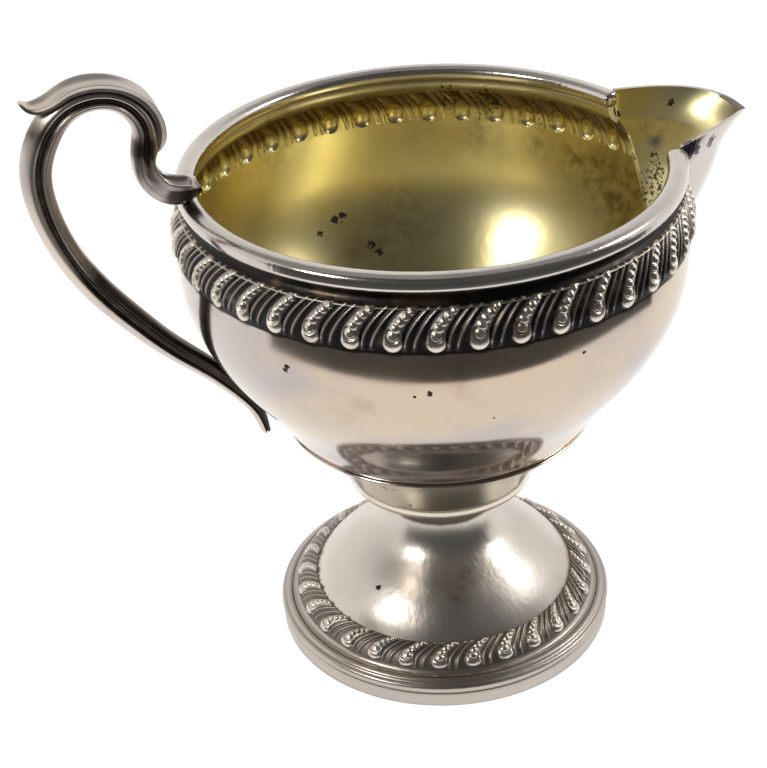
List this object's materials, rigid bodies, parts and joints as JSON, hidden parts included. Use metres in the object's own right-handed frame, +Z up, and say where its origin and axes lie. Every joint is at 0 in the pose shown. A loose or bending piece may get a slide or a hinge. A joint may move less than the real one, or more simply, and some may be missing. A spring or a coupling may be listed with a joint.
{
  "type": "cream jug",
  "caption": "Footed round silver cream jug with gadroon borders, a soldered pouring spout and a cast scroll handle.",
  "frame": {"origin": "centre of the foot's underside, on the table under the jug's turning axis", "axes": "+Z up along the turning axis, +X out of the spout, the handle on -X"},
  "size_m": [0.1349, 0.0956, 0.1251],
  "materials": {
    "polished_silver": "polished silver, lightly tarnished",
    "satin_silver": "worn satin silver with fine scratches",
    "oxidised_silver": "stamped silver, dark in its recesses and bright on its beads",
    "gilt_silver": "thin gold wash inside the bowl and the spout"
  },
  "bodies": {
    "root": {"rim_wire": "polished_silver", "neck_collar": "oxidised_silver", "gadroon_band": "oxidised_silver", "bowl": "polished_silver", "lower_cup": "polished_silver", "spout": "polished_silver", "handle": "polished_silver", "leaf_cap": "polished_silver", "foot_stem": "satin_silver", "foot_band": "oxidised_silver", "foot_moulding": "polished_silver", "foot_apron": "satin_silver"}
  },
  "joints": []
}
